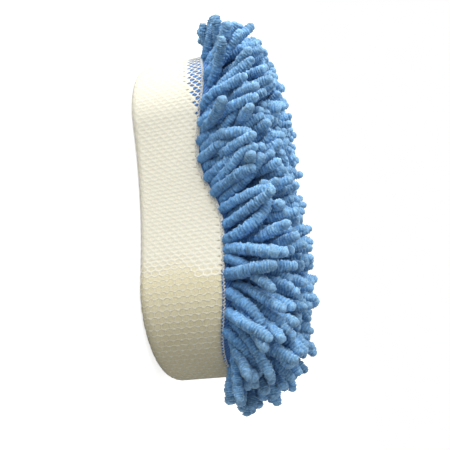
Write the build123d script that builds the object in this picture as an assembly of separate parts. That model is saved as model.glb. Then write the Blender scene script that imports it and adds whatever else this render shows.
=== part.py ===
from build123d import *
import math
import os

# Chenille wash mitt: a waisted foam block in a polyester net, with a pad of
# chenille fingers sewn over its front. It lies on its net back.
# +X runs along the length, +Y across the width, +Z from the back to the fingers.
# The origin is at the middle of the back, on the surface the mitt rests on.
# Everything is in millimetres.

# ---- driving dimensions ----
SPONGE_LENGTH = 230.0
LOBE_RADIUS = 51.0
WAIST_WIDTH = 88.0
BODY_THICKNESS = 64.0
BACK_EDGE_RADIUS = 15.0
SHOULDER_RADIUS = 9.0

NET_THICKNESS = 0.8
BACKING_THICKNESS = 1.0
NET_TO_BACKING = 0.3
NET_TO_FOAM = 0.2
STITCH_THICKNESS = 0.4
STITCH_TO_FOAM = 0.4

# The net is sewn to the pad along a line that wanders round the side wall:
# (X, depth of the seam below the front face), level beyond the two ends.
SEAM_STATIONS = ((-110, 15), (-78, 11), (-24, 20.2), (22, 7.5), (62, 7.3), (108, 15))
SEAM_STEPS = 64
SEAM_ALLOWANCE = 7.0
OVERLOCK_WIDTH = 2.4
OVERLOCK_THICKNESS = 0.9
OVERLOCK_GAP = 0.3
CLOSING_SEAM_WIDTH = 60.0

FINGER_RADIUS = 3.3
FINGER_LENGTH = 38.0
FINGER_SPACING = 10.2
FINGER_TO_OVERLOCK = 0.8
ROW_COUNT = 22
END_ROW_INSET = 3.0
RIM_TILT = 62.0
TILT_RISE = 1.3

STITCH_WIDTH = 1.4
STITCH_END_GAP = 4.0

# ---- layer depths, measured inwards from the outside of the net ----
NET_INSIDE = NET_THICKNESS
BACKING_OUTSIDE = NET_INSIDE + NET_TO_BACKING
BACKING_INSIDE = BACKING_OUTSIDE + BACKING_THICKNESS
FOAM_UNDER_BACKING = BACKING_INSIDE + STITCH_THICKNESS + STITCH_TO_FOAM
FOAM_UNDER_NET = NET_INSIDE + NET_TO_FOAM

# ---- plan outline: two lobe circles joined by hollow waist arcs ----
LOBE_X = SPONGE_LENGTH / 2 - LOBE_RADIUS
WAIST = WAIST_WIDTH / 2
WAIST_ARC_RADIUS = (LOBE_X**2 + WAIST**2 - LOBE_RADIUS**2) / (2 * (LOBE_RADIUS - WAIST))
WAIST_ARC_Y = WAIST + WAIST_ARC_RADIUS


def outline(depth):
    """The plan outline as a face, moved inwards by depth."""
    lobe = LOBE_RADIUS - depth
    reach = LOBE_RADIUS + WAIST_ARC_RADIUS
    touch_x = LOBE_X - lobe * LOBE_X / reach
    touch_y = lobe * WAIST_ARC_Y / reach
    waist = WAIST - depth
    arcs = (
        ThreePointArc((touch_x, -touch_y), (LOBE_X + lobe, 0), (touch_x, touch_y)),
        ThreePointArc((touch_x, touch_y), (0, waist), (-touch_x, touch_y)),
        ThreePointArc((-touch_x, touch_y), (-LOBE_X - lobe, 0), (-touch_x, -touch_y)),
        ThreePointArc((-touch_x, -touch_y), (0, -waist), (touch_x, -touch_y)),
    )
    return make_face(Wire(arcs))


def block(depth):
    """The rounded body, moved inwards by depth on every side."""
    height = BODY_THICKNESS - 2 * depth
    body = extrude(outline(depth), height).moved(Location((0, 0, depth)))
    edges = body.edges().group_by(Axis.Z)
    body = fillet(edges[0], BACK_EDGE_RADIUS - depth)
    edges = body.edges().group_by(Axis.Z)
    return fillet(edges[-1], SHOULDER_RADIUS - depth)


def seam_height(x):
    """Height of the seam at x: level at each station, with a smooth S between two."""
    x = min(max(x, SEAM_STATIONS[0][0]), SEAM_STATIONS[-1][0])
    for (x0, depth0), (x1, depth1) in zip(SEAM_STATIONS, SEAM_STATIONS[1:]):
        if x <= x1:
            along = (x - x0) / (x1 - x0)
            return BODY_THICKNESS - depth0 - (depth1 - depth0) * along**2 * (3 - 2 * along)


def below_seam(lift):
    """Everything under the wandering seam line, which is raised by lift."""
    reach = SPONGE_LENGTH
    places = [-reach + 2 * reach * step / SEAM_STEPS for step in range(SEAM_STEPS + 1)]
    points = [(x, seam_height(x) + lift) for x in places]
    sides = Polyline(points[-1], (reach, -reach), (-reach, -reach), points[0])
    profile = Plane.XZ * make_face(Wire([Spline(*points), *sides.edges()]))
    return extrude(profile, reach, both=True)


def edge_of_plan(x, y):
    """Signed distance outside the plan outline, and the outward direction."""
    side = 1 if y >= 0 else -1
    end = 1 if x >= 0 else -1
    ax, ay = abs(x), abs(y)
    in_lobe = (ax - LOBE_X) * WAIST_ARC_Y + ay * LOBE_X > 0
    if in_lobe:
        far = math.hypot(ax - LOBE_X, ay)
        return far - LOBE_RADIUS, (end * (ax - LOBE_X) / far, side * ay / far)
    dx, dy = -ax, WAIST_ARC_Y - ay
    far = math.hypot(dx, dy)
    return WAIST_ARC_RADIUS - far, (end * dx / far, side * dy / far)


# ---- the chenille panel is laid out flat, then wrapped over the shoulder ----
WRAP_RADIUS = SHOULDER_RADIUS - BACKING_OUTSIDE
WRAP_TOP = BODY_THICKNESS - BACKING_OUTSIDE
WRAP_LENGTH = WRAP_RADIUS * math.pi / 2
FINGER_SINK = 2 * FINGER_RADIUS
RIM_MARGIN = FINGER_RADIUS / math.sin(math.radians(RIM_TILT)) + OVERLOCK_WIDTH / 2 + FINGER_TO_OVERLOCK


def wrapped(x, y):
    """Root point of a finger at flat-panel place (x, y), or None past the seam.

    Also gives the outward direction in plan.
    """
    outside, normal = edge_of_plan(x, y)
    over = outside + SHOULDER_RADIUS
    if over <= 0:
        return (x, y, WRAP_TOP), normal
    base = (x - normal[0] * over, y - normal[1] * over)
    if over < WRAP_LENGTH:
        angle = over / WRAP_RADIUS
        out, drop = WRAP_RADIUS * math.sin(angle), WRAP_RADIUS * (1 - math.cos(angle))
    else:
        out, drop = WRAP_RADIUS, WRAP_RADIUS + over - WRAP_LENGTH
    root = (base[0] + normal[0] * out, base[1] + normal[1] * out, WRAP_TOP - drop)
    if root[2] < seam_height(root[0]) + RIM_MARGIN:
        return None
    return root, normal


def last_inside(place):
    """The largest distance d, to 0.1 mm, for which place(d) is above the seam."""
    steps = 0
    while place((steps + 1) / 10) is not None:
        steps += 1
    return steps / 10


def rod(length):
    """An upright round rod with a domed top, starting at the origin."""
    side = Line((FINGER_RADIUS, 0), (FINGER_RADIUS, length - FINGER_RADIUS))
    dome = CenterArc((0, length - FINGER_RADIUS), FINGER_RADIUS, 0, 90)
    core = Polyline((0, length), (0, 0), (FINGER_RADIUS, 0))
    return revolve(Plane.XZ * make_face(Wire([side, dome, *core.edges()])), Axis.Z)


def finger(root, outwards):
    """One finger, leaning outwards more the nearer its root is to the rim."""
    inset = -edge_of_plan(root[0], root[1])[0]
    rim = min(1.0, max(0.0, 1 - inset / LOBE_RADIUS))
    tilt = math.radians(RIM_TILT) * rim**TILT_RISE
    lean = Vector(math.sin(tilt) * outwards[0], math.sin(tilt) * outwards[1], math.cos(tilt))
    across = Vector(-outwards[1], outwards[0], 0)
    start = Vector(*root) - lean * FINGER_SINK
    return Plane(start, x_dir=across, z_dir=lean) * rod(FINGER_LENGTH + FINGER_SINK)


def chenille_rows():
    """One list of finger solids for each sewn row, from the -X end."""
    first_x = END_ROW_INSET - last_inside(lambda d: wrapped(-d, 0))
    last_x = last_inside(lambda d: wrapped(d, 0)) - END_ROW_INSET
    pitch = (last_x - first_x) / (ROW_COUNT - 1)
    pad_face = block(BACKING_OUTSIDE)
    rows = []
    for number in range(ROW_COUNT):
        x = first_x + number * pitch
        half = last_inside(lambda d: wrapped(x, d))
        gaps = max(1, round(2 * half / FINGER_SPACING))
        places = [-half + 2 * half * i / gaps for i in range(gaps + 1)] if half > FINGER_RADIUS else [0.0]
        fingers = [finger(*wrapped(x, y)) - pad_face for y in places]
        rows.append([solid for one in fingers for solid in one.solids()])
    return rows, first_x, pitch


def row_stitches(first_x, pitch):
    """Flat runs of tacking thread under the rows, inside the backing."""
    top = BODY_THICKNESS - BACKING_INSIDE
    bars = []
    for number in range(ROW_COUNT):
        x = first_x + number * pitch
        half = 0.0
        while edge_of_plan(x, half + 1)[0] < -SHOULDER_RADIUS:
            half += 1
        half -= STITCH_END_GAP
        if half < 2 * STITCH_END_GAP:
            continue
        bar = Box(STITCH_WIDTH, 2 * half, STITCH_THICKNESS)
        bars.append(bar.moved(Location((x, 0, top - STITCH_THICKNESS / 2))).solid())
    return bars


def overlock():
    """The thread band round the net's edge, cut into the machine and the closing run.

    It lies over the net below the seam, and turns in to the backing above it.
    """
    top = below_seam(OVERLOCK_WIDTH / 2)
    outer = block(-OVERLOCK_GAP - OVERLOCK_THICKNESS)
    over_net = (outer - block(-OVERLOCK_GAP)) & (top - below_seam(-OVERLOCK_WIDTH / 2))
    on_backing = (outer - block(BACKING_OUTSIDE)) & (top - below_seam(OVERLOCK_GAP))
    band = over_net + on_backing
    window = Box(SPONGE_LENGTH, CLOSING_SEAM_WIDTH, 4 * BODY_THICKNESS)
    window = window.moved(Location((SPONGE_LENGTH / 2 + LOBE_X, 0, 0)))
    return band - window, band & window


def foam():
    """The core: full width under the net, a little lower under the backing."""
    core = block(FOAM_UNDER_NET)
    shallow = block(FOAM_UNDER_BACKING)
    under_backing = below_seam(-SEAM_ALLOWANCE - NET_TO_FOAM)
    return (core & under_backing) + shallow


def write(name, solids):
    export_step(Compound(children=list(solids)), f"parts/{name}.step")


os.makedirs("parts", exist_ok=True)
skin = block(0)
write("net_cover", ((skin - block(NET_INSIDE)) & below_seam(0)).solids())
panel = block(BACKING_OUTSIDE) - block(BACKING_INSIDE)
write("backing_fabric", (panel - below_seam(-SEAM_ALLOWANCE)).solids())
write("foam_core", foam().solids())
machine_run, closing_run = overlock()
write("overlock_seam", machine_run.solids())
write("closing_seam", closing_run.solids())
finger_rows, first_row_x, row_pitch = chenille_rows()
for index, solids in enumerate(finger_rows, start=1):
    write(f"chenille_row_{index:02d}", solids)
write("row_stitches", row_stitches(first_row_x, row_pitch))
print("fingers", sum(len(solids) for solids in finger_rows), "row pitch", round(row_pitch, 2))
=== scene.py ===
import math

import bmesh
import bpy
import numpy as np
from mathutils import Matrix, Vector


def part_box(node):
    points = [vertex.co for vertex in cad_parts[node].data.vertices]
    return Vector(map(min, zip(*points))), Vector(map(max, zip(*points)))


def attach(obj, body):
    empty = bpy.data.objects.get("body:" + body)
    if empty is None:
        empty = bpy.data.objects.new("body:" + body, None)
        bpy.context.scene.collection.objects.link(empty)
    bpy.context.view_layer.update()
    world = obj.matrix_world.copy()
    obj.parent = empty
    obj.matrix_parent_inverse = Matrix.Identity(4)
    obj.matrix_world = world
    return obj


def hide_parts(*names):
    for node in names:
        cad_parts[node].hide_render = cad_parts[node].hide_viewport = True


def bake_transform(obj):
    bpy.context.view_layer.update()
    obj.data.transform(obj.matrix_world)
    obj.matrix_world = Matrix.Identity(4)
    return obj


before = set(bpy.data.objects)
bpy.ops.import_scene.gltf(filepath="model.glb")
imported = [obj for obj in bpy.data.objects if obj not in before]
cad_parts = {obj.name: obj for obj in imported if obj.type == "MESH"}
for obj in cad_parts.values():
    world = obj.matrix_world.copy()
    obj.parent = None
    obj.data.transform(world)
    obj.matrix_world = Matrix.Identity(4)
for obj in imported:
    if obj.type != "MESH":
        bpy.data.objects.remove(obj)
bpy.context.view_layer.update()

# A chenille wash mitt: a waisted foam block in a stretch net, with a pad of
# blue chenille fingers over its front. It lies on its net back, fingers up.
# Metres, in the frame of the CAD model. Sizes below are written in millimetres.
MM = 0.001

# ---- the body that every soft layer is wrapped round ----
HALF_LENGTH, LOBE_RADIUS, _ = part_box("net_cover")[1]
WAIST = 44 * MM
BACKING_DEPTH = 1.1 * MM
PAD_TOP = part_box("backing_fabric")[1].z
BODY_TOP = PAD_TOP + BACKING_DEPTH
BACK_EDGE_TIGHT, BACK_EDGE_WIDE = 6 * MM, 11 * MM
WIDENS_FROM, WIDENS_TO = 40 * MM, 105 * MM
SHOULDER = 9 * MM
SHOULDER_CURVE = SHOULDER * math.pi / 2
LOBE_X = HALF_LENGTH - LOBE_RADIUS
WAIST_ARC = (LOBE_X**2 + WAIST**2 - LOBE_RADIUS**2) / (2 * (LOBE_RADIUS - WAIST))
WAIST_ARC_Y = WAIST + WAIST_ARC

# Where the net's edge runs: (X, depth below the front face) in millimetres.
SEAM_STATIONS = ((-110, 15), (-78, 11), (-24, 20.2), (22, 7.5), (62, 7.3), (108, 15))

# How finely the outline is drawn, and how finely the wrapped layers are.
ARC_POINTS = 400
BODY_COLUMNS, FOAM_ROWS, BACKING_ROWS = 300, 60, 26


def smooth_step(low, high, x):
    """0 below low, 1 above high, and a smooth S between them."""
    t = np.clip((x - low) / (high - low), 0, 1)
    return t * t * (3 - 2 * t)


def seam_height(x):
    """Height of the net's edge above the back, at each x."""
    height = np.full(np.shape(x), BODY_TOP - SEAM_STATIONS[0][1] * MM)
    for (x0, depth0), (x1, depth1) in zip(SEAM_STATIONS, SEAM_STATIONS[1:]):
        height = height - (depth1 - depth0) * MM * smooth_step(x0 * MM, x1 * MM, x)
    return height


def edge_of_plan(x, y):
    """Signed distance outside the plan outline at each point, and the outward direction."""
    ax, ay = np.abs(x), np.abs(y)
    in_lobe = (ax - LOBE_X) * WAIST_ARC_Y + ay * LOBE_X > 0
    lobe_far = np.maximum(np.hypot(ax - LOBE_X, ay), 1e-9)
    waist_far = np.hypot(ax, WAIST_ARC_Y - ay)
    distance = np.where(in_lobe, lobe_far - LOBE_RADIUS, WAIST_ARC - waist_far)
    nx = np.where(in_lobe, (ax - LOBE_X) / lobe_far, -ax / waist_far)
    ny = np.where(in_lobe, ay / lobe_far, (WAIST_ARC_Y - ay) / waist_far)
    return distance, nx * np.where(x >= 0, 1, -1), ny * np.where(y >= 0, 1, -1)


def plan_outline():
    """The outline as points with the length walked to each, anticlockwise from the -X tip."""
    turn = math.atan2(WAIST_ARC_Y, LOBE_X)
    lobe = np.linspace(math.pi, 2 * math.pi - turn, ARC_POINTS)
    left = np.c_[-LOBE_X + LOBE_RADIUS * np.cos(lobe), LOBE_RADIUS * np.sin(lobe)]
    arc = np.linspace(math.pi - turn, turn, ARC_POINTS)
    waist = np.c_[WAIST_ARC * np.cos(arc), -WAIST_ARC_Y + WAIST_ARC * np.sin(arc)]
    near = np.vstack([left, waist[1:-1], left[::-1] * (-1, 1)])
    points = np.vstack([near, near[-2::-1] * (1, -1)])
    walked = np.r_[0, np.cumsum(np.hypot(*np.diff(points, axis=0).T))]
    return points, walked


OUTLINE, WALKED = plan_outline()
PERIMETER = WALKED[-1]


def outline_at(share):
    """Point and outward direction on the outline, share from 0 to 1 of the way round."""
    walked = np.mod(share, 1.0) * PERIMETER
    x, y = np.interp(walked, WALKED, OUTLINE[:, 0]), np.interp(walked, WALKED, OUTLINE[:, 1])
    _, nx, ny = edge_of_plan(x, y)
    return x, y, nx, ny


def back_edge(x):
    """Radius of the edge round the back: tight up to the waist, wide round the +X lobe."""
    share = smooth_step(WIDENS_FROM, WIDENS_TO, x)
    return BACK_EDGE_TIGHT + (BACK_EDGE_WIDE - BACK_EDGE_TIGHT) * share


def full_climb(x):
    """How far it is up the side, from the flat back to the flat front."""
    edge = back_edge(x)
    return edge * math.pi / 2 + BODY_TOP - edge - SHOULDER + SHOULDER_CURVE


def climb_to(height, x):
    """How far up the side the surface reaches a height on the wall or the shoulder."""
    edge = back_edge(x)
    on_shoulder = np.arcsin(np.clip((height - BODY_TOP + SHOULDER) / SHOULDER, 0, 1)) * SHOULDER
    return edge * math.pi / 2 + np.minimum(height, BODY_TOP - SHOULDER) - edge + on_shoulder


def skin(share, climb, lift):
    """Points on the body's surface, climb metres up its side from the flat back.

    They are lifted off the surface, or sunk into it where lift is negative.
    """
    x, y, nx, ny = outline_at(share)
    edge = back_edge(x)
    wall = BODY_TOP - edge - SHOULDER
    past = climb - edge * math.pi / 2 - wall
    back = np.clip(climb / edge, 0, math.pi / 2)
    top = np.clip(past / SHOULDER, 0, math.pi / 2)
    inset = edge * (1 - np.sin(back)) + SHOULDER * (1 - np.cos(top))
    inset = inset + np.maximum(-climb, 0) + np.maximum(past - SHOULDER_CURVE, 0)
    height = edge * (1 - np.cos(back)) + np.clip(past + wall, 0, wall) + SHOULDER * np.sin(top)
    out, up = np.sin(back) * np.cos(top), np.sin(top) - np.cos(back)
    reach = out * lift - inset
    return np.stack([x + nx * reach, y + ny * reach, height + lift * up], axis=-1)


# ---- mesh helpers ----
def finished(bm, name, smooth=True):
    """The bmesh as a new object."""
    mesh = bpy.data.meshes.new(name)
    bm.to_mesh(mesh)
    bm.free()
    if smooth:
        mesh.shade_smooth()
    piece = bpy.data.objects.new(name, mesh)
    bpy.context.scene.collection.objects.link(piece)
    return piece


def flat_grid(columns, rows):
    """A one by one grid with its corner at the origin."""
    bm = bmesh.new()
    bmesh.ops.create_grid(bm, x_segments=columns, y_segments=rows, size=0.5)
    bmesh.ops.translate(bm, verts=bm.verts, vec=(0.5, 0.5, 0))
    return bm


def bend_to(bm, place, weld=0.01 * MM):
    """Moves each vertex to place(u, v, rise), and welds the edges that then meet."""
    flat = np.array([v.co for v in bm.verts])
    for vertex, spot in zip(bm.verts, place(*flat.T)):
        vertex.co = spot
    bmesh.ops.remove_doubles(bm, verts=bm.verts, dist=weld)
    bmesh.ops.recalc_face_normals(bm, faces=bm.faces)


def brick_cells(bm, columns, rows):
    """Leaves out every other wall across a flat grid, so that its cells lie like bricks."""
    walls = []
    for edge in bm.edges:
        start, end = (v.co for v in edge.verts)
        column, row = math.floor((start.x + end.x) / 2 * columns), round(start.y * rows)
        across = abs(start.y - end.y) < 0.1 / rows
        if across and not edge.is_boundary and (column + row) % 2:
            walls.append(edge)
    bmesh.ops.dissolve_edges(bm, edges=walls, use_verts=False)


# ---- materials ----
def srgb(code):
    """An sRGB hex colour as the linear colour that shaders take."""
    parts = [int(code[i:i + 2], 16) / 255 for i in (1, 3, 5)]
    return tuple(c / 12.92 if c <= 0.04045 else ((c + 0.055) / 1.055)**2.4 for c in parts) + (1,)


def add(tree, kind, inputs=(), **settings):
    """A new node with its settings, its input values, and its links from other nodes' sockets."""
    node = tree.nodes.new(kind)
    for key, value in settings.items():
        setattr(node, key, value)
    for key, value in dict(inputs).items():
        if isinstance(value, bpy.types.NodeSocket):
            tree.links.new(value, node.inputs[key])
        else:
            node.inputs[key].default_value = value
    return node


def new_material(name):
    """An empty material, with its tree and its shader."""
    material = bpy.data.materials.new(name)
    material.use_nodes = True
    tree = material.node_tree
    return material, tree, tree.nodes["Principled BSDF"]


def set_inputs(shader, tree, **values):
    """Sets the shader's inputs, or links them where a socket is given."""
    for key, value in values.items():
        socket = shader.inputs[key.replace("_", " ")]
        if isinstance(value, bpy.types.NodeSocket):
            tree.links.new(value, socket)
        else:
            socket.default_value = value


def ramp(tree, factor, *stops):
    """A colour ramp through (place, hex) stops."""
    node = add(tree, "ShaderNodeValToRGB", {"Fac": factor})
    elements = node.color_ramp.elements
    while len(elements) < len(stops):
        elements.new(0.5)
    for element, (place, code) in zip(elements, stops):
        element.position = place
        element.color = srgb(code)
    return node.outputs["Color"]


def grain(size):
    """The noise or cell scale whose grains are this wide."""
    return 1 / size


def waves(pitch):
    """The wave scale whose bands are this far apart: its sine takes 20 times the place."""
    return 2 * math.pi / (20 * pitch)


POLYESTER_IOR, POLYURETHANE_IOR = 1.58, 1.5


def chenille_material():
    """Microfibre chenille: split polyester pile, cut and wound round a core.

    The pile scatters light, so a finger is matt and soft at its rim, and mottled where tufts clump. Its
    colour is painted darker in the grooves between the ribs and towards its root, where the fingers
    crowd: painted shade. Clumps of split fibre are about 0.3 mm wide, and are drawn six times as coarse
    to show.
    """
    tuft, cloud = 1.8 * MM, 11 * MM
    material, tree, shader = new_material("chenille_microfibre")
    along = add(tree, "ShaderNodeAttribute", attribute_name="along").outputs["Fac"]
    crest_and_groove_shade = add(tree, "ShaderNodeAttribute", attribute_name="crest_and_groove_shade").outputs["Fac"]
    lot = add(tree, "ShaderNodeAttribute", attribute_name="lot").outputs["Fac"]
    where = add(tree, "ShaderNodeTexCoord").outputs["Object"]
    tufts = add(tree, "ShaderNodeTexNoise", {"Vector": where, "Scale": grain(tuft), "Detail": 5.0,
                                             "Roughness": 0.75}).outputs["Fac"]
    clouds = add(tree, "ShaderNodeTexNoise",
                 {"Vector": where, "Scale": grain(cloud), "Detail": 2.0}).outputs["Fac"]
    # The ramp along each finger paints it darker towards its root, where the fingers crowd, and paler at
    # its tip: painted shade.
    pile = ramp(tree, along, (0.0, "#629DD5"), (0.4, "#88B9E2"), (0.8, "#97C4E5"), (1.0, "#A2CBE5"))
    # The grooves between the ribs are painted a darker blue here: painted shade in the recesses of the
    # pile.
    ribbed = add(tree, "ShaderNodeMix", {"Factor": crest_and_groove_shade, "A": srgb("#5894CF"), "B": pile},
                 data_type="RGBA")
    fleck = add(tree, "ShaderNodeMapRange", {"Value": tufts, "From Min": 0.38, "From Max": 0.62,
                                             "To Min": 0.68, "To Max": 1.34})
    patch = add(tree, "ShaderNodeMapRange", {"Value": clouds, "From Min": 0.3, "From Max": 0.7,
                                             "To Min": 0.88, "To Max": 1.12})
    level = add(tree, "ShaderNodeMath", {0: fleck.outputs["Result"], 1: patch.outputs["Result"]},
                operation="MULTIPLY")
    level = add(tree, "ShaderNodeMath", {0: level.outputs[0], 1: lot}, operation="MULTIPLY")
    colour = add(tree, "ShaderNodeHueSaturation",
                 {"Color": ribbed.outputs["Result"], "Value": level.outputs[0]})
    bump = add(tree, "ShaderNodeBump", {"Height": tufts, "Strength": 1.0, "Distance": 0.9 * MM})
    set_inputs(shader, tree, Base_Color=colour.outputs["Color"], Roughness=0.95,
               Normal=bump.outputs["Normal"], IOR=POLYESTER_IOR, Specular_IOR_Level=0.2,
               Sheen_Weight=0.3, Sheen_Roughness=0.5, Sheen_Tint=srgb("#CFE0F0"))
    return material


def net_material():
    """Knitted polyester net: bright white filament yarn, uncoloured.

    Continuous filaments lie side by side, so it has a faint gloss and a fine
    streak. The yarn is about 0.3 mm thick, and its streaks are drawn 0.7 mm wide.
    """
    streak = 0.7 * MM
    material, tree, shader = new_material("knitted_polyester_net")
    where = add(tree, "ShaderNodeTexCoord").outputs["Object"]
    yarn = add(tree, "ShaderNodeTexNoise",
               {"Vector": where, "Scale": grain(streak), "Detail": 2.0}).outputs["Fac"]
    colour = ramp(tree, yarn, (0.3, "#D3CFBD"), (0.7, "#E0DDCE"))
    bump = add(tree, "ShaderNodeBump", {"Height": yarn, "Strength": 0.4, "Distance": 0.15 * MM})
    set_inputs(shader, tree, Base_Color=colour, Roughness=0.6, Normal=bump.outputs["Normal"],
               IOR=POLYESTER_IOR, Sheen_Weight=0.2)
    return material


def foam_material():
    """Open-cell polyurethane foam, cut from a block.

    The cut opens its cells, so it is dead matt and finely pitted. It is cream, and from X = 28 mm to 56
    mm it turns darker and yellower towards +X: the darkening is painted shade, where the side turns away
    from the light, and the yellower tone is the foam's own. Its pits are painted darker too: painted
    shade in the hollows of the cells. Its cells are about 0.5 mm wide, and are drawn 1.1 mm wide to
    show.
    """
    cell, blotch = 1.1 * MM, 25 * MM
    shade_from, shade_to = 28 * MM, 56 * MM
    material, tree, shader = new_material("polyurethane_foam")
    where = add(tree, "ShaderNodeTexCoord").outputs["Object"]
    pits = add(tree, "ShaderNodeTexVoronoi", {"Vector": where, "Scale": grain(cell)}).outputs["Distance"]
    tone = add(tree, "ShaderNodeTexNoise",
               {"Vector": where, "Scale": grain(blotch), "Detail": 4.0}).outputs["Fac"]
    fresh = ramp(tree, tone, (0.3, "#EBE7D7"), (0.7, "#F2EFE0"))
    # A darker, yellower tone, mixed in from X = 28 mm towards +X: painted shade, with the foam's own
    # yellow.
    shaded_yellow_foam = ramp(tree, tone, (0.3, "#D2CBAC"), (0.7, "#DCD6BC"))
    place = add(tree, "ShaderNodeSeparateXYZ", {"Vector": where})
    shade_share = add(tree, "ShaderNodeMapRange",
                {"Value": place.outputs["X"], "From Min": shade_from, "From Max": shade_to})
    base = add(tree, "ShaderNodeMix", {"Factor": shade_share.outputs["Result"], "A": fresh, "B": shaded_yellow_foam},
               data_type="RGBA")
    # The pits are painted darker: painted shade in the hollows of the cells.
    pit_shade = ramp(tree, pits, (0.0, "#FFFFFF"), (0.6, "#E9E5D8"))
    colour = add(tree, "ShaderNodeMix", {"Factor": 0.6, "A": base.outputs["Result"], "B": pit_shade},
                 data_type="RGBA", blend_type="MULTIPLY")
    bump = add(tree, "ShaderNodeBump", {"Height": pits, "Strength": 0.35, "Distance": 0.3 * MM},
               invert=True)
    set_inputs(shader, tree, Base_Color=colour.outputs["Result"], Roughness=0.95, IOR=POLYURETHANE_IOR,
               Specular_IOR_Level=0.2, Normal=bump.outputs["Normal"])
    return material


def backing_material():
    """Warp-knit polyester, dyed blue: its chains of loops make fine ribs along the cloth.

    The ribs of such a cloth are about 0.8 mm apart, and are drawn 1.2 mm apart.
    """
    rib = 1.2 * MM
    material, tree, shader = new_material("warp_knit_backing")
    where = add(tree, "ShaderNodeTexCoord").outputs["Object"]
    ribs = add(tree, "ShaderNodeTexWave",
               {"Vector": where, "Scale": waves(rib), "Distortion": 2.0, "Detail": 2.0},
               wave_type="BANDS", bands_direction="DIAGONAL").outputs["Fac"]
    colour = ramp(tree, ribs, (0.2, "#2A5A96"), (0.8, "#4A7FB8"))
    bump = add(tree, "ShaderNodeBump", {"Height": ribs, "Strength": 0.6, "Distance": 0.4 * MM})
    set_inputs(shader, tree, Base_Color=colour, Roughness=0.85, Normal=bump.outputs["Normal"],
               IOR=POLYESTER_IOR, Sheen_Weight=0.2)
    return material


def thread_material(name, dark, light):
    """Spun polyester sewing thread: plies twisted together, so it is banded aslant.

    The twist repeats about every 0.35 mm.
    """
    twist = 0.35 * MM
    material, tree, shader = new_material(name)
    where = add(tree, "ShaderNodeTexCoord").outputs["Object"]
    plies = add(tree, "ShaderNodeTexWave", {"Vector": where, "Scale": waves(twist), "Distortion": 4.0},
                bands_direction="DIAGONAL").outputs["Fac"]
    set_inputs(shader, tree, Base_Color=ramp(tree, plies, (0.1, dark), (0.8, light)), Roughness=0.6,
               IOR=POLYESTER_IOR, Sheen_Weight=0.2)
    return material


CHENILLE = chenille_material()
NET = net_material()
FOAM = foam_material()
BACKING = backing_material()
WHITE_THREAD = thread_material("white_overlock_thread", "#CFCFCB", "#F4F4F0")
BLUE_THREAD = thread_material("blue_tacking_thread", "#2A559A", "#5A8ACB")


def dress(piece, material, slot, *nodes):
    """Gives a piece its material, and hides the CAD nodes that it stands for. Its slot is not used."""
    piece.data.materials.clear()
    piece.data.materials.append(material)
    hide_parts(*nodes)
    return piece


def flattens(piece):
    """Bakes the piece's placement into its mesh."""
    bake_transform(piece)


# ---- foam block ----
FOAM_DEPTH, FOAM_HOLLOW = 0.92 * MM, 0.78 * MM
FOAM_FLAT = 6 * MM
PRESSED_OVER = 2 * MM
TAIL_SHORT, TAIL_LONG = 1.5 * MM, 12.5 * MM
TAIL_SHORTENS_FROM, TAIL_SHORTENS_TO = -82 * MM, -45 * MM


def tail(x):
    """How far the backing runs on below the net's edge: furthest round the -X end."""
    return TAIL_LONG + (TAIL_SHORT - TAIL_LONG) * smooth_step(TAIL_SHORTENS_FROM, TAIL_SHORTENS_TO, x)


def backing_start(x):
    """How far up the side the backing begins."""
    return climb_to(seam_height(x), x) - tail(x)


def foam_block():
    """One block, drawn up the side from the flat back to the flat front.

    It is pressed in under the backing.
    """
    bm = flat_grid(BODY_COLUMNS, FOAM_ROWS)

    def place(u, v, _):
        x = outline_at(u)[0]
        climb = v * (full_climb(x) + 2 * FOAM_FLAT) - FOAM_FLAT
        pressed = smooth_step(backing_start(x) - PRESSED_OVER, backing_start(x), climb)
        return skin(u, climb, -FOAM_DEPTH - FOAM_HOLLOW * pressed)

    bend_to(bm, place)
    bmesh.ops.holes_fill(bm, edges=[edge for edge in bm.edges if edge.is_boundary])
    bmesh.ops.recalc_face_normals(bm, faces=bm.faces)
    return finished(bm, "foam_block")


foam = dress(foam_block(), FOAM, "foam", "foam_core")
flattens(foam)

# ---- net ----
# It is knitted flat, in rows of six-sided cells that run down the side, and then
# stretched over the body. It is slack and dense round the -X lobe and the waist,
# and pulled open round the +X lobe.
NET_LIFT = -0.82 * MM
RELIEF = 0.12 * MM
CELL = 5.2 * MM
HALF_CELLS = 30
PANEL = HALF_CELLS / 2 * CELL
FLAT_ROW = 3 * MM
SLACK_ROW, OPEN_ROW = 2.5 * MM, 3.8 * MM
SLACK_THREAD, LIP_THREAD, OPEN_THREAD = 3.15 * MM, 1.1 * MM, 0.38 * MM
SLACK_WAVE, OPEN_WAVE = 0.5, 0.24
KNOT, KNOT_SHAPE = 0.6 * MM, (0.8, 1.9, 1.5, 1)
STATIONS = 2000
OPEN_FROM = 47 * MM
OPENING = 9 * MM
OPENING_STEPS = 5
SLANT, WOBBLE = 0.12, 3 * MM


def opened(x):
    """How far the net is pulled open at x: 0 slack, 1 open."""
    return smooth_step(OPEN_FROM - OPENING, OPEN_FROM + OPENING, x)


def rows_passed(x, step):
    """How many rows have been passed at each of a run of places at x, step apart."""
    rows = step / (SLACK_ROW + (OPEN_ROW - SLACK_ROW) * opened(x))
    return np.r_[0, np.cumsum(rows[1:])]


def thread_at(x, down):
    """Width of the threads: bundled where the net is slack, less so over the backing."""
    middle = OPEN_FROM - SLANT * down + WOBBLE * np.sin(down / (2 * WOBBLE))
    share = smooth_step(middle - OPENING, middle + OPENING, x)
    share = np.round(share * OPENING_STEPS) / OPENING_STEPS
    slack = np.where((x < TAIL_SHORTENS_TO) & (down < tail(x)), LIP_THREAD, SLACK_THREAD)
    return slack + (OPEN_THREAD - slack) * share


def is_wall(edge):
    """Whether an edge of the flat net lies across its rows, between two cells."""
    start, end = (v.co for v in edge.verts)
    return abs(start.y - end.y) < 0.1 * CELL and len(edge.link_faces) == 2


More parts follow.
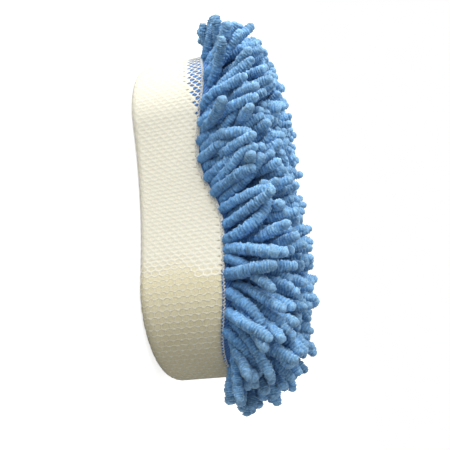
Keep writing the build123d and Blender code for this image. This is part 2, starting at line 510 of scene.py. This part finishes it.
def knit(bm, columns, x_at, width_at):
    """Knits flat cells: six-sided ones, with knots where the net is open.

    Gives the size of the flat piece and the area of its yarn, which has two faces.
    """
    spots = np.array([v.co for v in bm.verts])
    odd = (np.rint(spots[:, 0] * columns) + np.rint(spots[:, 1] * HALF_CELLS)) % 2
    wave = SLACK_WAVE + (OPEN_WAVE - SLACK_WAVE) * opened(x_at(spots[:, 0]))
    for vertex, shift in zip(bm.verts, wave * (0.5 - odd) / columns):
        vertex.co.x += shift
    bmesh.ops.scale(bm, verts=bm.verts, vec=(columns * FLAT_ROW, PANEL, 1))
    middles = np.array([face.calc_center_median() for face in bm.faces])
    widths = width_at(x_at(middles[:, 0] / columns / FLAT_ROW), middles[:, 1])
    zone = dict(zip(bm.faces, widths))
    border = [edge for edge in bm.edges if len({zone[face] for face in edge.link_faces}) > 1]
    bmesh.ops.split_edges(bm, edges=border)
    thin = [face for face in bm.faces if zone[face] < 1.01 * OPEN_THREAD]
    walls = {edge for face in thin for edge in face.edges if is_wall(edge)}
    knots = {tuple(min(edge.verts, key=lambda v: v.co.x).co) for edge in walls}
    for width in sorted(set(widths)):
        cells = [face for face, own in zone.items() if own == width]
        bmesh.ops.wireframe(bm, faces=cells, thickness=width, offset=0, use_replace=True,
                            use_boundary=True, use_even_offset=False)
    for knot in sorted(knots):
        place = Matrix.Translation(knot) @ Matrix.Diagonal(KNOT_SHAPE)
        bmesh.ops.create_icosphere(bm, subdivisions=1, radius=KNOT, matrix=place)
    for vertex in bm.verts:
        vertex.co.z = RELIEF * math.tanh(vertex.co.z / RELIEF)
    reach = np.ptp(np.array([v.co for v in bm.verts]), axis=0)
    yarn = sum(face.calc_area() for face in bm.faces) / 2
    bmesh.ops.scale(bm, verts=bm.verts, vec=(1 / columns / FLAT_ROW, 1 / PANEL, 1))
    return {"flat": (float(reach[0]), float(reach[1])), "area": yarn}


def net_side():
    """The net from the seam down the side and round on to the back."""
    share = np.linspace(0, 1, STATIONS + 1)
    passed = rows_passed(outline_at(share)[0], PERIMETER / STATIONS)
    columns = 2 * round(passed[-1] / 2)
    bm = flat_grid(columns, HALF_CELLS)
    brick_cells(bm, columns, HALF_CELLS)

    def share_at(u):
        return np.interp(np.mod(u, 1) * passed[-1], passed, share)

    def place(u, v, rise):
        x = outline_at(share_at(u))[0]
        return skin(share_at(u), climb_to(seam_height(x), x) - v * PANEL, NET_LIFT + rise)

    cut = knit(bm, columns, lambda u: outline_at(share_at(u))[0], thread_at)
    bend_to(bm, place)
    return finished(bm, "net_side", smooth=False), cut


def net_back():
    """The net over the middle of the back, inside the side panel's reach."""
    along = np.linspace(-HALF_LENGTH, HALF_LENGTH, STATIONS // 2 + 1)
    passed = rows_passed(along, along[1] - along[0])
    columns = 2 * round(passed[-1] / 2)
    bm = flat_grid(columns, HALF_CELLS)
    brick_cells(bm, columns, HALF_CELLS)

    def x_at(u):
        return np.interp(u * passed[-1], passed, along)

    middles = np.array([face.calc_center_median() for face in bm.faces])
    x, y = x_at(middles[:, 0]), (middles[:, 1] - 0.5) * PANEL
    reach = PANEL - climb_to(seam_height(x), x) + back_edge(x) - 0.5 * CELL
    spare = -edge_of_plan(x, y)[0] < reach
    bmesh.ops.delete(bm, geom=[face for face, out in zip(bm.faces[:], spare) if out], context="FACES")
    cut = knit(bm, columns, x_at, lambda x, _: thread_at(x, PANEL))

    def place(u, v, rise):
        return np.stack([x_at(u), (v - 0.5) * PANEL, -NET_LIFT - rise], axis=-1)

    bend_to(bm, place)
    return finished(bm, "net_back", smooth=False), cut


side, side_cut = net_side()
dress(side, NET, "net", "net_cover")
flattens(side)
back, back_cut = net_back()
dress(back, NET, "net", "net_cover")
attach(back, "sponge_body")

# ---- backing fabric ----
BACKING_SKIN = 0.95 * MM
BACKING_THICKNESS = 0.6 * MM


def backing_panel():
    """The blue knit over the front, turned down over the shoulder and under the net's edge."""
    bm = flat_grid(BODY_COLUMNS, BACKING_ROWS)

    def place(u, v, _):
        x = outline_at(u)[0]
        start = backing_start(x)
        return skin(u, start + v * (full_climb(x) + FOAM_FLAT - start), -BACKING_SKIN)

    bend_to(bm, place)
    rim = [edge for edge in bm.edges if edge.is_boundary and edge.verts[0].co.z > PAD_TOP - MM]
    bmesh.ops.edgeloop_fill(bm, edges=rim)
    bmesh.ops.recalc_face_normals(bm, faces=bm.faces)
    bmesh.ops.solidify(bm, geom=bm.faces[:], thickness=BACKING_THICKNESS)
    return finished(bm, "backing_panel")


backing = dress(backing_panel(), BACKING, "backing", "backing_fabric")
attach(backing, "chenille_pad")

# ---- overlock thread along the net's edge ----
LOOP_PITCH = 2.1 * MM
LOOP_RADIUS = 0.55 * MM
SEWING_THREAD = 0.27 * MM
SEAM_LIFT = 0.25 * MM
LOOP_STEPS = 8
THREAD_SIDES = 5


def seam_loops():
    """One thread that winds round the net's edge, all the way round the body."""
    turns = round(PERIMETER / LOOP_PITCH)
    bm = flat_grid(turns * LOOP_STEPS, THREAD_SIDES)

    def centre(u):
        x = outline_at(u)[0]
        angle = 2 * math.pi * turns * u
        rise = climb_to(seam_height(x), x) + LOOP_RADIUS * np.cos(angle)
        return skin(u, rise, SEAM_LIFT + LOOP_RADIUS * np.sin(angle))

    def place(u, v, _):
        step = 0.1 / (turns * LOOP_STEPS)
        ahead = centre(u + step) - centre(u - step)
        ahead /= np.linalg.norm(ahead, axis=1)[:, None]
        across = np.cross(ahead, (0, 0, 1))
        across /= np.linalg.norm(across, axis=1)[:, None]
        angle = 2 * math.pi * v[:, None]
        ring = np.cos(angle) * across + np.sin(angle) * np.cross(across, ahead)
        return centre(u) + SEWING_THREAD * ring

    bend_to(bm, place)
    return finished(bm, "overlock_loops")


loops = dress(seam_loops(), WHITE_THREAD, "thread", "overlock_seam", "closing_seam")
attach(loops, "chenille_pad")

# ---- chenille fingers ----
RNG = np.random.default_rng(7)
FINGER_RADIUS = 3.65 * MM
FINGER_LENGTH = 39 * MM
FINGER_SINK = 2 * MM
JOINTS = 8
RELAX_STEPS = 160
RIM_TILT = math.radians(55)
RIM_TILT_RISE = 1.3
WIDEST_GAP = 5.6 * MM
SEAM_MARGIN = 2.8 * MM
PLACE_STEP, PLACES_ROUND, PLACES_UP = 1.5 * MM, 400, 12
LONG_EDGE = 20 * MM
ROW_NODES = sorted(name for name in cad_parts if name.startswith("chenille_row"))

# How the pile is combed along the mitt: (X in mm, lean in degrees towards +X).
COMB = ((-115, -60), (-100, -48), (-85, -30), (-60, -17), (-20, -15), (12, -13), (30, 4), (48, 26),
        (72, 44), (115, 62))
SPREAD = 0.4
OUTWARDS = 0.6

# How unlike each other the fingers are: their lengths as shares, the comb in
# radians, and the rest as parts of a direction.
LENGTHS = 0.84, 1.05
COMB_VARIES, SPREAD_VARIES, FALL_VARIES, DROOP_VARIES = 0.2, 0.16, 0.15, 0.22
CURL, CURL_SHARE = 0.4, (0.2, 1.5)

# At the two ends the rim's fingers fall over the edge. All fingers are shorter
# at the ends and at their rim, and a little longer towards +X.
DROOP_LOW_X, DROOP_HIGH_X = -0.45, -0.28
FALL_FROM, FALL_TO = -16 * MM, -2 * MM
END_FROM, END_TO = 0.55, 0.95
END_SHORTER, SHORTENS_FROM, SHORTENS_TO = 0.2, 72 * MM, 104 * MM
FRONT_LONGER, LENGTHENS_FROM, LENGTHENS_TO = 0.1, -20 * MM, 50 * MM
RIM_SHORTER = 0.25

# How fingers that meet press each other aside. They stay this share of their
# thickness apart, and this share of their radius off the pad. The second line
# holds shares of the way to go in each step, and the last one shares of a finger.
PRESSED_TO, CLEAR_OF_PAD = 0.88, 0.8
PUSH, STIFFNESS, MEMORY = 0.3, 0.18, 0.05
PAIRS_EVERY, PAIRS_REACH = 8, 4 * MM
BENT_BY, CLEAR_BY = 0.4, 0.3


def sewn_roots(name):
    """Root point of each finger in a CAD row, from the low ends of its long straight edges."""
    bm = bmesh.new()
    bm.from_mesh(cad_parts[name].data)
    bmesh.ops.remove_doubles(bm, verts=bm.verts, dist=0.001 * MM)
    roots, seen = [], set()
    for start in bm.verts:
        if start in seen:
            continue
        seen.add(start)
        island = [start]
        for vertex in island:
            fresh = {edge.other_vert(vertex) for edge in vertex.link_edges} - seen
            seen |= fresh
            island.extend(sorted(fresh, key=lambda v: v.index))
        edges = dict.fromkeys(edge for vertex in island for edge in vertex.link_edges)
        long = [edge for edge in edges if edge.calc_length() > LONG_EDGE]
        ends = [min(edge.verts, key=lambda v: body_distance(np.array(v.co))[0]).co for edge in long]
        roots.append(sum(ends, Vector()) / len(ends))
    bm.free()
    return roots


def body_distance(points):
    """Distance outside the pad's backing, and the outward direction there."""
    outside, nx, ny = edge_of_plan(points[..., 0], points[..., 1])
    over, up = outside + SHOULDER, points[..., 2] - BODY_TOP + SHOULDER
    past, high = np.maximum(over, 0), np.maximum(up, 0)
    far = np.maximum(np.hypot(past, high), 1e-9)
    distance = np.where((over > 0) | (up > 0), far, np.maximum(over, up)) - SHOULDER + BACKING_DEPTH
    return distance, np.stack([nx * past / far, ny * past / far, high / far], axis=-1)


def pad_places():
    """Places all over the pad, from its flat front down to just above the seam."""
    x, y = np.meshgrid(np.arange(-HALF_LENGTH, HALF_LENGTH, PLACE_STEP),
                       np.arange(-LOBE_RADIUS, LOBE_RADIUS, PLACE_STEP))
    flat = edge_of_plan(x, y)[0] < -SHOULDER
    front = np.stack([x[flat], y[flat], np.full(flat.sum(), PAD_TOP)], axis=-1)
    share, rise = np.meshgrid(np.linspace(0, 1, PLACES_ROUND), np.linspace(0, 1, PLACES_UP))
    share, rise = share.ravel(), rise.ravel()
    x = outline_at(share)[0]
    low = climb_to(seam_height(x), x) + SEAM_MARGIN
    climb = low + rise * (full_climb(x) - low)
    return np.vstack([front, skin(share, climb, -BACKING_DEPTH)])


def all_roots():
    """The sewn fingers, and the ones that fill the gaps between them, each with its row."""
    sewn = [(number, root) for number, name in enumerate(ROW_NODES) for root in sewn_roots(name)]
    rows = [number for number, _ in sewn]
    roots = [np.array(root) for _, root in sewn]
    places = pad_places()
    gap = np.min([np.linalg.norm(places - root, axis=1) for root in roots], axis=0)
    while gap.max() > WIDEST_GAP:
        root = places[gap.argmax()]
        nearest = np.linalg.norm(np.array(roots[:len(sewn)]) - root, axis=1).argmin()
        rows.append(rows[nearest])
        roots.append(root)
        gap = np.minimum(gap, np.linalg.norm(places - root, axis=1))
    return np.array(rows), np.array(roots)


def unit(vectors):
    """The vectors at length one."""
    return vectors / np.maximum(np.linalg.norm(vectors, axis=-1, keepdims=True), 1e-9)


def outward_leans(roots):
    """The direction in which each finger leaves the backing: upright, and outwards near the rim."""
    outside, nx, ny = edge_of_plan(roots[:, 0], roots[:, 1])
    rim = np.clip(1 + outside / LOBE_RADIUS, 0, 1)
    tilt = RIM_TILT * rim**RIM_TILT_RISE
    return np.stack([nx * np.sin(tilt), ny * np.sin(tilt), np.cos(tilt)], axis=1)


def near_pairs(points, owner, reach):
    """Pairs of points of different fingers that are within reach."""
    square = (points**2).sum(1)
    gap = square[:, None] + square[None] - 2 * points @ points.T
    return np.nonzero((gap < reach**2) & (owner[:, None] < owner[None]))


def relaxed_fingers(roots):
    """Bends every finger to the comb of the pile, and presses fingers that meet apart."""
    count = len(roots)
    leans = outward_leans(roots)
    lengths = FINGER_LENGTH * RNG.uniform(*LENGTHS, count)
    comb = np.radians(np.interp(roots[:, 0] / MM, *np.array(COMB).T))
    comb = comb + RNG.normal(0, COMB_VARIES, count)
    spread = leans[:, 1] * SPREAD + RNG.normal(0, SPREAD_VARIES, count)
    combed = unit(np.stack([np.sin(comb), spread, np.cos(comb)], axis=1))
    outside, nx, ny = edge_of_plan(roots[:, 0], roots[:, 1])
    end_rim = smooth_step(FALL_FROM, FALL_TO, outside) * smooth_step(END_FROM, END_TO, np.abs(nx))
    end_rim = end_rim[:, None]
    aside = ny + RNG.normal(0, FALL_VARIES, count)
    droop = RNG.normal(np.where(nx < 0, DROOP_LOW_X, DROOP_HIGH_X), DROOP_VARIES)
    fallen = np.stack([nx, aside, droop], axis=1)
    combed = unit(combed * (1 - end_rim) + fallen * end_rim)
    ends = smooth_step(SHORTENS_FROM, SHORTENS_TO, np.abs(roots[:, 0]))
    lengths = lengths * (1 - END_SHORTER * ends)
    lengths = lengths * (1 + FRONT_LONGER * smooth_step(LENGTHENS_FROM, LENGTHENS_TO, roots[:, 0]))
    lengths = lengths * (1 - RIM_SHORTER * end_rim[:, 0])
    start = unit(leans + combed + OUTWARDS * body_distance(roots)[1])
    share = np.linspace(0, 1, JOINTS + 1)
    turn = smooth_step(0, BENT_BY, share)[None, :, None]
    curl = RNG.normal(0, CURL, (count, 1, 3)) * RNG.uniform(*CURL_SHARE, (count, 1, 1))
    curl = curl * share[None, :, None]
    heading = unit(start[:, None] * (1 - turn) + combed[:, None] * turn + curl)
    step = (lengths + FINGER_SINK) / JOINTS
    roots = roots - start * FINGER_SINK
    path = roots[:, None] + np.cumsum(heading * step[:, None, None], axis=1)
    path = np.concatenate([roots[:, None], path[:, :-1]], axis=1)
    wished = path.copy()
    owner = np.repeat(np.arange(count), JOINTS + 1)
    for turn_number in range(RELAX_STEPS):
        flat = path.reshape(-1, 3)
        if turn_number % PAIRS_EVERY == 0:
            a, b = near_pairs(flat, owner, 2 * FINGER_RADIUS + PAIRS_REACH)
        apart = flat[a] - flat[b]
        distance = np.maximum(np.linalg.norm(apart, axis=1), 1e-9)
        push = np.maximum(2 * FINGER_RADIUS * PRESSED_TO - distance, 0) / distance * PUSH
        move = (apart * push[:, None]).T
        shift = [np.bincount(a, part, len(flat)) - np.bincount(b, part, len(flat)) for part in move]
        path = path + np.stack(shift, axis=1).reshape(path.shape)
        path[:, 1:-1] += STIFFNESS * ((path[:, :-2] + path[:, 2:]) / 2 - path[:, 1:-1])
        path += MEMORY * (wished - path)
        height, out = body_distance(path)
        low = np.maximum(FINGER_RADIUS * CLEAR_OF_PAD - height, 0)[..., None]
        path += out * low * smooth_step(0, CLEAR_BY, share)[None, :, None]
        path[:, 0] = roots
        path[:, 1] = roots + unit(path[:, 1] - roots + start * step[:, None] * 0.5) * step[:, None]
        for k in range(2, JOINTS + 1):
            path[:, k] = path[:, k - 1] + unit(path[:, k] - path[:, k - 1]) * step[:, None]
    return path


# One finger is wound from ribbed pile: rings along it, points round each ring.
# The last ring is left a little open, and is closed flat.
RIB = 1.6 * MM
RINGS_PER_RIB = 3
SIDES = 10
TIP_RINGS = 4
RIBS = round(FINGER_LENGTH / RIB)
RINGS = RIBS * RINGS_PER_RIB

# These are shares of its radius or its length, but for how much the pile varies.
TIP_BLUNT, TIP_OPEN, TIP_NARROWS = 0.7, 0.35, 0.14
HEEL_WIDTH, HEEL_LENGTH = 0.45, 0.09
GROOVE, LUMP, OVAL = 0.18, 0.05, 0.05
GIRTHS, LUMPS, LOTS = (0.92, 1.06), (0.6, 1.4), (0.86, 1.12)
WINDING_VARIES, PILE_VARIES = 0.55, 0.4 * MM
GROOVE_SHADE_MEAN, GROOVE_SHADE_FADES = 0.6, 0.7


def finger_pattern():
    """A tube for one finger, closed at both ends, with each vertex's ring and angle."""
    bm = flat_grid(RINGS + TIP_RINGS, SIDES)
    flat = np.array([v.co[:2] for v in bm.verts])
    angle = flat[:, 1] * 2 * math.pi
    for vertex, u, turn in zip(bm.verts, flat[:, 0], angle):
        vertex.co = (math.cos(turn), math.sin(turn), u)
    bmesh.ops.remove_doubles(bm, verts=bm.verts, dist=1e-4)
    bmesh.ops.holes_fill(bm, edges=[edge for edge in bm.edges if edge.is_boundary])
    bmesh.ops.recalc_face_normals(bm, faces=bm.faces)
    mesh = bpy.data.meshes.new("finger_pattern")
    bm.to_mesh(mesh)
    bm.free()
    spots = np.array([v.co for v in mesh.vertices])
    ring = np.rint(spots[:, 2] * (RINGS + TIP_RINGS)).astype(int)
    return mesh, ring, np.arctan2(spots[:, 1], spots[:, 0])


def curve_through(path, shares):
    """Smooth points along each path at the given shares of its length."""
    before, after = 2 * path[:, :1] - path[:, 1:2], 2 * path[:, -1:] - path[:, -2:-1]
    padded = np.concatenate([before, path, after], axis=1)
    spot = np.clip(shares, 0, 1) * JOINTS
    k = np.minimum(spot.astype(int), JOINTS - 1)
    t = (spot - k)[None, :, None]
    p0, p1, p2, p3 = (padded[:, k + i] for i in range(4))
    return 0.5 * (2 * p1 + (p2 - p0) * t + (2 * p0 - 5 * p1 + 4 * p2 - p3) * t**2
                  + (3 * p1 - p0 - 3 * p2 + p3) * t**3)


def ring_frames(centres):
    """Two directions across each finger at each ring, carried along without twist."""
    ahead = unit(np.gradient(centres, axis=1))
    first = unit(np.cross(ahead[:, 0], (0.3, 0.5, 0.8)))
    ones, twos = [first], [np.cross(ahead[:, 0], first)]
    for k in range(1, centres.shape[1]):
        one = unit(ones[-1] - ahead[:, k] * (ones[-1] * ahead[:, k]).sum(1, keepdims=True))
        ones.append(one)
        twos.append(np.cross(ahead[:, k], one))
    return np.stack(ones, axis=1), np.stack(twos, axis=1)


def finger_rows():
    """One object for each sewn row, with the fingers bent, ribbed and closed at their tips."""
    rows, roots = all_roots()
    path = relaxed_fingers(roots)
    count = len(roots)
    body_rings = np.arange(RINGS + 1) / RINGS * (1 - TIP_BLUNT * FINGER_RADIUS / FINGER_LENGTH)
    dome = np.arange(1, TIP_RINGS + 1) / (TIP_RINGS + TIP_OPEN) * math.pi / 2
    tip = np.sin(dome) * TIP_BLUNT * FINGER_RADIUS / FINGER_LENGTH
    shares = np.r_[body_rings, body_rings[-1] + tip]
    heel = HEEL_WIDTH + (1 - HEEL_WIDTH) * np.sqrt(smooth_step(0, HEEL_LENGTH, body_rings))
    taper = np.r_[heel, np.cos(dome)] * (1 - TIP_NARROWS * smooth_step(0.8, 0.95, shares))
    centres = curve_through(path, shares)
    one, two = ring_frames(centres)
    pattern, ring, angle = finger_pattern()
    girth = FINGER_RADIUS * RNG.uniform(*GIRTHS, count)
    lump = RNG.uniform(*LUMPS, (count, RIBS + 3))
    phase = RNG.uniform(0, 2 * math.pi, (count, 1))
    wound = shares[ring][None] * FINGER_LENGTH / RIB * 2 * math.pi + angle[None] + phase
    wound = wound + RNG.normal(0, WINDING_VARIES, wound.shape)
    rib = np.clip((shares[ring] * RIBS).astype(int), 0, RIBS + 2)
    crest_and_groove_shade = 0.5 + 0.5 * np.cos(wound)
    radius = 1 + LUMP * (lump[:, rib] - 1) - GROOVE * (1 - crest_and_groove_shade) * lump[:, rib]
    radius *= 1 + OVAL * np.cos(3 * angle[None] + 5 * rib[None] + phase)
    radius = (radius * girth[:, None] + RNG.normal(0, PILE_VARIES, radius.shape)) * taper[ring][None]
    # Towards the tip the painted groove shade fades to an even middle value.
    fade = 1 - GROOVE_SHADE_FADES * smooth_step(0.9, 0.98, shares[ring])
    crest_and_groove_shade = GROOVE_SHADE_MEAN + (crest_and_groove_shade - GROOVE_SHADE_MEAN) * fade[None]
    around = (np.cos(angle)[None, :, None] * one[:, ring]
              + np.sin(angle)[None, :, None] * two[:, ring])
    points = centres[:, ring] + radius[..., None] * around
    lots = RNG.uniform(*LOTS, count)
    for number, name in enumerate(ROW_NODES):
        mine = np.flatnonzero(rows == number)
        bm = bmesh.new()
        for _ in mine:
            bm.from_mesh(pattern)
        piece = finished(bm, name.replace("chenille_row", "chenille_fingers"))
        mesh = piece.data
        mesh.vertices.foreach_set("co", points[mine].ravel())
        # Two of these attributes carry painted shade into the chenille's colour: the rib share darkens
        # the grooves, along darkens the roots.
        marks = {"along": np.tile(shares[ring], len(mine)), "crest_and_groove_shade": crest_and_groove_shade[mine].ravel(),
                 "lot": np.repeat(lots[mine], len(ring))}
        for key, values in marks.items():
            layer = mesh.attributes.new(key, "FLOAT", "POINT")
            layer.data.foreach_set("value", values.astype(np.float32))
        mesh.update()
        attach(dress(piece, CHENILLE, "chenille", name), "chenille_pad")
    bpy.data.meshes.remove(pattern)


finger_rows()

# ---- tacking threads, carried over from the CAD model ----
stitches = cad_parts["row_stitches"]
stitches.data.materials.clear()
stitches.data.materials.append(BLUE_THREAD)

# ---- floor, light and camera ----
def seen_level(tree, unseen, seen):
    """A strength that differs between what the room lights and what is looked at."""
    looked_at = add(tree, "ShaderNodeLightPath").outputs["Is Camera Ray"]
    level = add(tree, "ShaderNodeMapRange", {"Value": looked_at, "To Min": unseen, "To Max": seen})
    return level.outputs["Result"]


def floor():
    """A wide, pale studio floor that looks white."""
    bm = bmesh.new()
    bmesh.ops.create_grid(bm, x_segments=1, y_segments=1, size=6.0)
    plane = finished(bm, "studio_floor", smooth=False)
    material, tree, shader = new_material("matt_white_paper")
    set_inputs(shader, tree, Base_Color=srgb("#C8C8C8"), Roughness=0.9, Specular_IOR_Level=0.1,
               Emission_Color=srgb("#FFFFFF"), Emission_Strength=seen_level(tree, 0.0, 0.8))
    plane.data.materials.append(material)


def soft_box(name, spot, aim, size, power):
    """A square soft box on a stand, turned to the given point."""
    lamp = bpy.data.lights.new(name, "AREA")
    lamp.size = size
    lamp.energy = power
    box = bpy.data.objects.new(name, lamp)
    box.location = spot
    box.rotation_euler = (Vector(spot) - Vector(aim)).to_track_quat("Z", "Y").to_euler()
    bpy.context.scene.collection.objects.link(box)


def white_room(strength):
    """A dim white room that looks pure white."""
    world = bpy.data.worlds.new("white_room")
    world.use_nodes = True
    tree = world.node_tree
    background = tree.nodes["Background"]
    background.inputs["Color"].default_value = srgb("#FFFFFF")
    tree.links.new(seen_level(tree, strength, 1.0), background.inputs["Strength"])
    bpy.context.scene.world = world


floor()
white_room(0.52)
soft_box("key_light", (-0.42, -0.34, 0.28), (-0.02, 0, 0.05), size=0.45, power=4.6)
soft_box("back_light", (0.1, 0.65, 0.4), (0, 0, 0.05), size=0.6, power=3.0)
bpy.context.scene.view_settings.view_transform = "Standard"

# The camera looks along the width, low over the floor, and is turned on its
# side so that the length stands upright. AIM is how far to its right and how
# far up from the origin it looks. A lens and its sensor are in millimetres.
RISE, SWING, ROLL = math.radians(14.0), math.radians(13.9), math.radians(4.7)
DISTANCE = 400 * MM
AIM = (46.7 * MM, -4.4 * MM)
SENSOR, FOCAL_LENGTH = 36.0, 43.936

toward = Vector((math.sin(SWING), -math.cos(SWING) * math.cos(RISE), math.cos(SWING) * math.sin(RISE)))
level = Vector((0, math.sin(RISE), math.cos(RISE)))
upright = toward.cross(level)
right = level * math.cos(ROLL) - upright * math.sin(ROLL)
up = level * math.sin(ROLL) + upright * math.cos(ROLL)
lens = bpy.data.cameras.new("camera")
lens.sensor_width = SENSOR
lens.lens = FOCAL_LENGTH
camera = bpy.data.objects.new("camera", lens)
spot = right * AIM[0] + up * AIM[1] + toward * DISTANCE
camera.matrix_world = Matrix.Translation(spot) @ Matrix((right, up, toward)).transposed().to_4x4()
bpy.context.scene.collection.objects.link(camera)
bpy.context.scene.camera = camera
